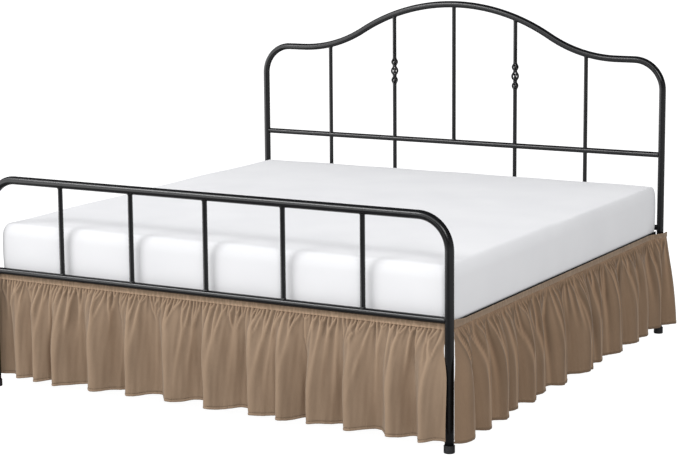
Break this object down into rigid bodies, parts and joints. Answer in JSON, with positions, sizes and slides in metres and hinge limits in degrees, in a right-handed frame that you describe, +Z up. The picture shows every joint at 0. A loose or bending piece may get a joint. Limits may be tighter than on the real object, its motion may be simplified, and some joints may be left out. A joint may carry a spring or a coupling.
{
  "type": "gathered bed skirt on a metal bed with its mattress",
  "caption": "Gathered split-corner bed skirt hanging round a tube bed with arched headboard and plain mattress, covering the space under the bed.",
  "frame": {"origin": "middle of the floor under the bed, level with the undersides of the floor caps", "axes": "+X to the right when standing at the foot and facing the headboard, +Y from the foot to the headboard, +Z up"},
  "size_m": [2.161, 2.1849, 1.434],
  "materials": {
    "taupe_cloth": "brushed microfibre, matt, taupe, gathered into a narrow heading",
    "white_ticking": "smooth white knit ticking, matt",
    "black_enamel": "satin black powder coat",
    "black_plastic": "moulded black floor cap, matt",
    "pine": "planed, uncoated"
  },
  "bodies": {
    "root": {"band_foot": "taupe_cloth", "band_left": "taupe_cloth", "band_right": "taupe_cloth", "centre_leg_foot": "black_enamel", "centre_leg_head": "black_enamel", "centre_rail": "black_enamel", "foot_bar_1": "black_enamel", "foot_bar_2": "black_enamel", "foot_bar_3": "black_enamel", "foot_bar_4": "black_enamel", "foot_bar_5": "black_enamel", "foot_bend_left": "black_enamel", "foot_bend_right": "black_enamel", "foot_cap_left": "black_plastic", "foot_cap_right": "black_plastic", "foot_crossbar": "black_enamel", "foot_post_left": "black_enamel", "foot_post_right": "black_enamel", "foot_rail": "black_enamel", "foot_top_rail": "black_enamel", "head_arch": "black_enamel", "head_bend_left": "black_enamel", "head_bend_right": "black_enamel", "head_cap_left": "black_plastic", "head_cap_right": "black_plastic", "head_crossbar": "black_enamel", "head_lower_bar": "black_enamel", "head_post_left": "black_enamel", "head_post_right": "black_enamel", "head_rail": "black_enamel", "head_shoulder_left": "black_enamel", "head_shoulder_right": "black_enamel", "head_spindle_1": "black_enamel", "head_spindle_2": "black_enamel", "head_spindle_3": "black_enamel", "head_spindle_4": "black_enamel", "head_spindle_5": "black_enamel", "mattress": "white_ticking", "ruffle_foot": "taupe_cloth", "ruffle_left": "taupe_cloth", "ruffle_right": "taupe_cloth", "side_rail_left": "black_enamel", "side_rail_right": "black_enamel", "slat_1": "pine", "slat_2": "pine", "slat_3": "pine", "slat_4": "pine", "slat_5": "pine", "slat_6": "pine", "slat_7": "pine"}
  },
  "joints": []
}
